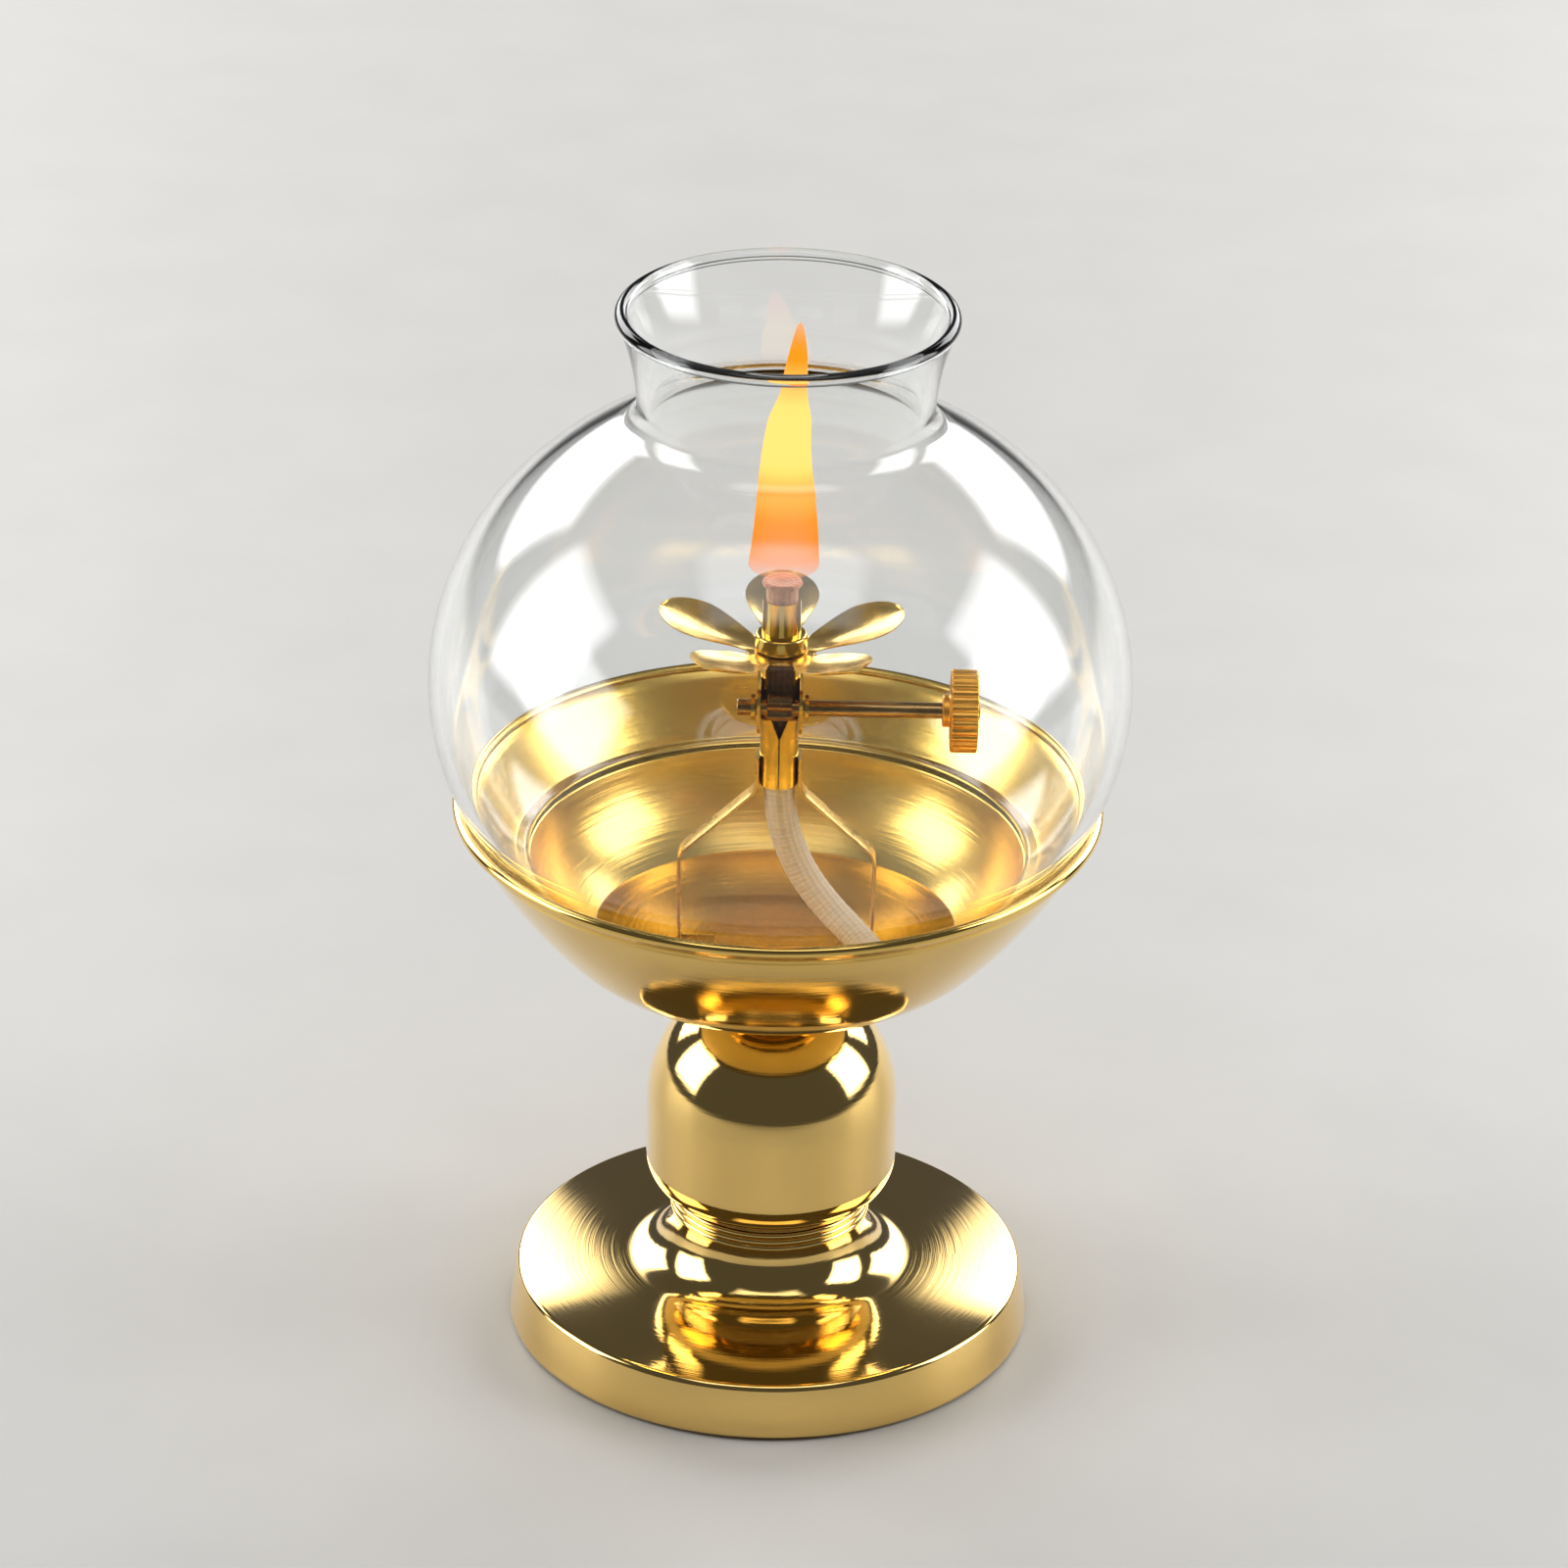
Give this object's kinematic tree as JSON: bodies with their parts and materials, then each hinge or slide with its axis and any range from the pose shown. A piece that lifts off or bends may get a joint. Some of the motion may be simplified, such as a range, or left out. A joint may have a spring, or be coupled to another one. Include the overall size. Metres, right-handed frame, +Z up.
{
  "type": "oil lamp",
  "caption": "Footed brass oil lamp: a shallow oil bowl on a knopped stem, a clear glass globe that lifts off, and a lift-out petal burner with a thumbwheel wick raiser.",
  "frame": {"origin": "centre of the felt pad's underside, on the surface that the lamp stands on", "axes": "+Z up along the stem and globe; +X towards the thumbwheel; -Y is the side that the window in the wick tube looks to"},
  "size_m": [0.1036, 0.1036, 0.1654],
  "materials": {
    "polished_brass": "mirror polished, lacquered",
    "spun_brass": "spun, satin inside and polished outside",
    "burner_brass": "rolled sheet, lightly heat-tinted",
    "petal_brass": "pressed and polished",
    "wheel_brass": "knurled, lacquered amber",
    "clear_glass": "clear, blown",
    "oil": "clear amber lamp oil",
    "cotton": "braided cotton, oil-soaked",
    "felt": "pressed wool felt",
    "fibre": "vulcanised fibre",
    "iron": "as cast",
    "steel": "zinc plated"
  },
  "bodies": {
    "stand": {"base_foot": "polished_brass", "base_pad": "felt", "base_weight": "iron", "tie_rod": "steel", "tie_nut": "steel", "lock_washer": "steel", "tie_washer": "steel", "stem_ring": "polished_brass", "stem_knob": "polished_brass", "stem_washer": "fibre", "bowl_boss": "polished_brass", "bowl_cup": "spun_brass", "lamp_oil": "oil"},
    "globe": {"globe_lower": "clear_glass", "globe_belly": "clear_glass", "globe_shoulder": "clear_glass", "globe_neck": "clear_glass"},
    "burner": {"wick_tube": "burner_brass", "left_leg": "burner_brass", "right_leg": "burner_brass", "shaft_bracket": "burner_brass", "flower_petals": "petal_brass", "flower_collar": "burner_brass"},
    "spindle": {"wick_shaft": "burner_brass", "star_wheel": "burner_brass", "shaft_clips": "steel", "thumb_wheel": "wheel_brass"},
    "wick_core": {"wick": "cotton", "wick_tail": "cotton"}
  },
  "joints": [
    {"name": "globe_lift", "type": "slide", "parent": "stand", "child": "globe", "axis": [0, 0, 1], "range_m": [0, 0.11]},
    {"name": "burner_lift", "type": "slide", "parent": "stand", "child": "burner", "axis": [0, 0, 1], "range_m": [0, 0.025]},
    {"name": "thumbwheel_turn", "type": "hinge", "parent": "burner", "child": "spindle", "pos_m": [0, -0.0036, 0.104], "axis": [1, 0, 0], "range_deg": [-58, 175]},
    {"name": "wick_slide", "type": "slide", "parent": "burner", "child": "wick_core", "axis": [0, 0, 1], "range_m": [-0.002, 0.006], "deforming": ["wick_tail"]}
  ],
  "couplings": [
    {"joint": "wick_slide", "follows": "thumbwheel_turn", "m_per_rad": 0.00195}
  ]
}
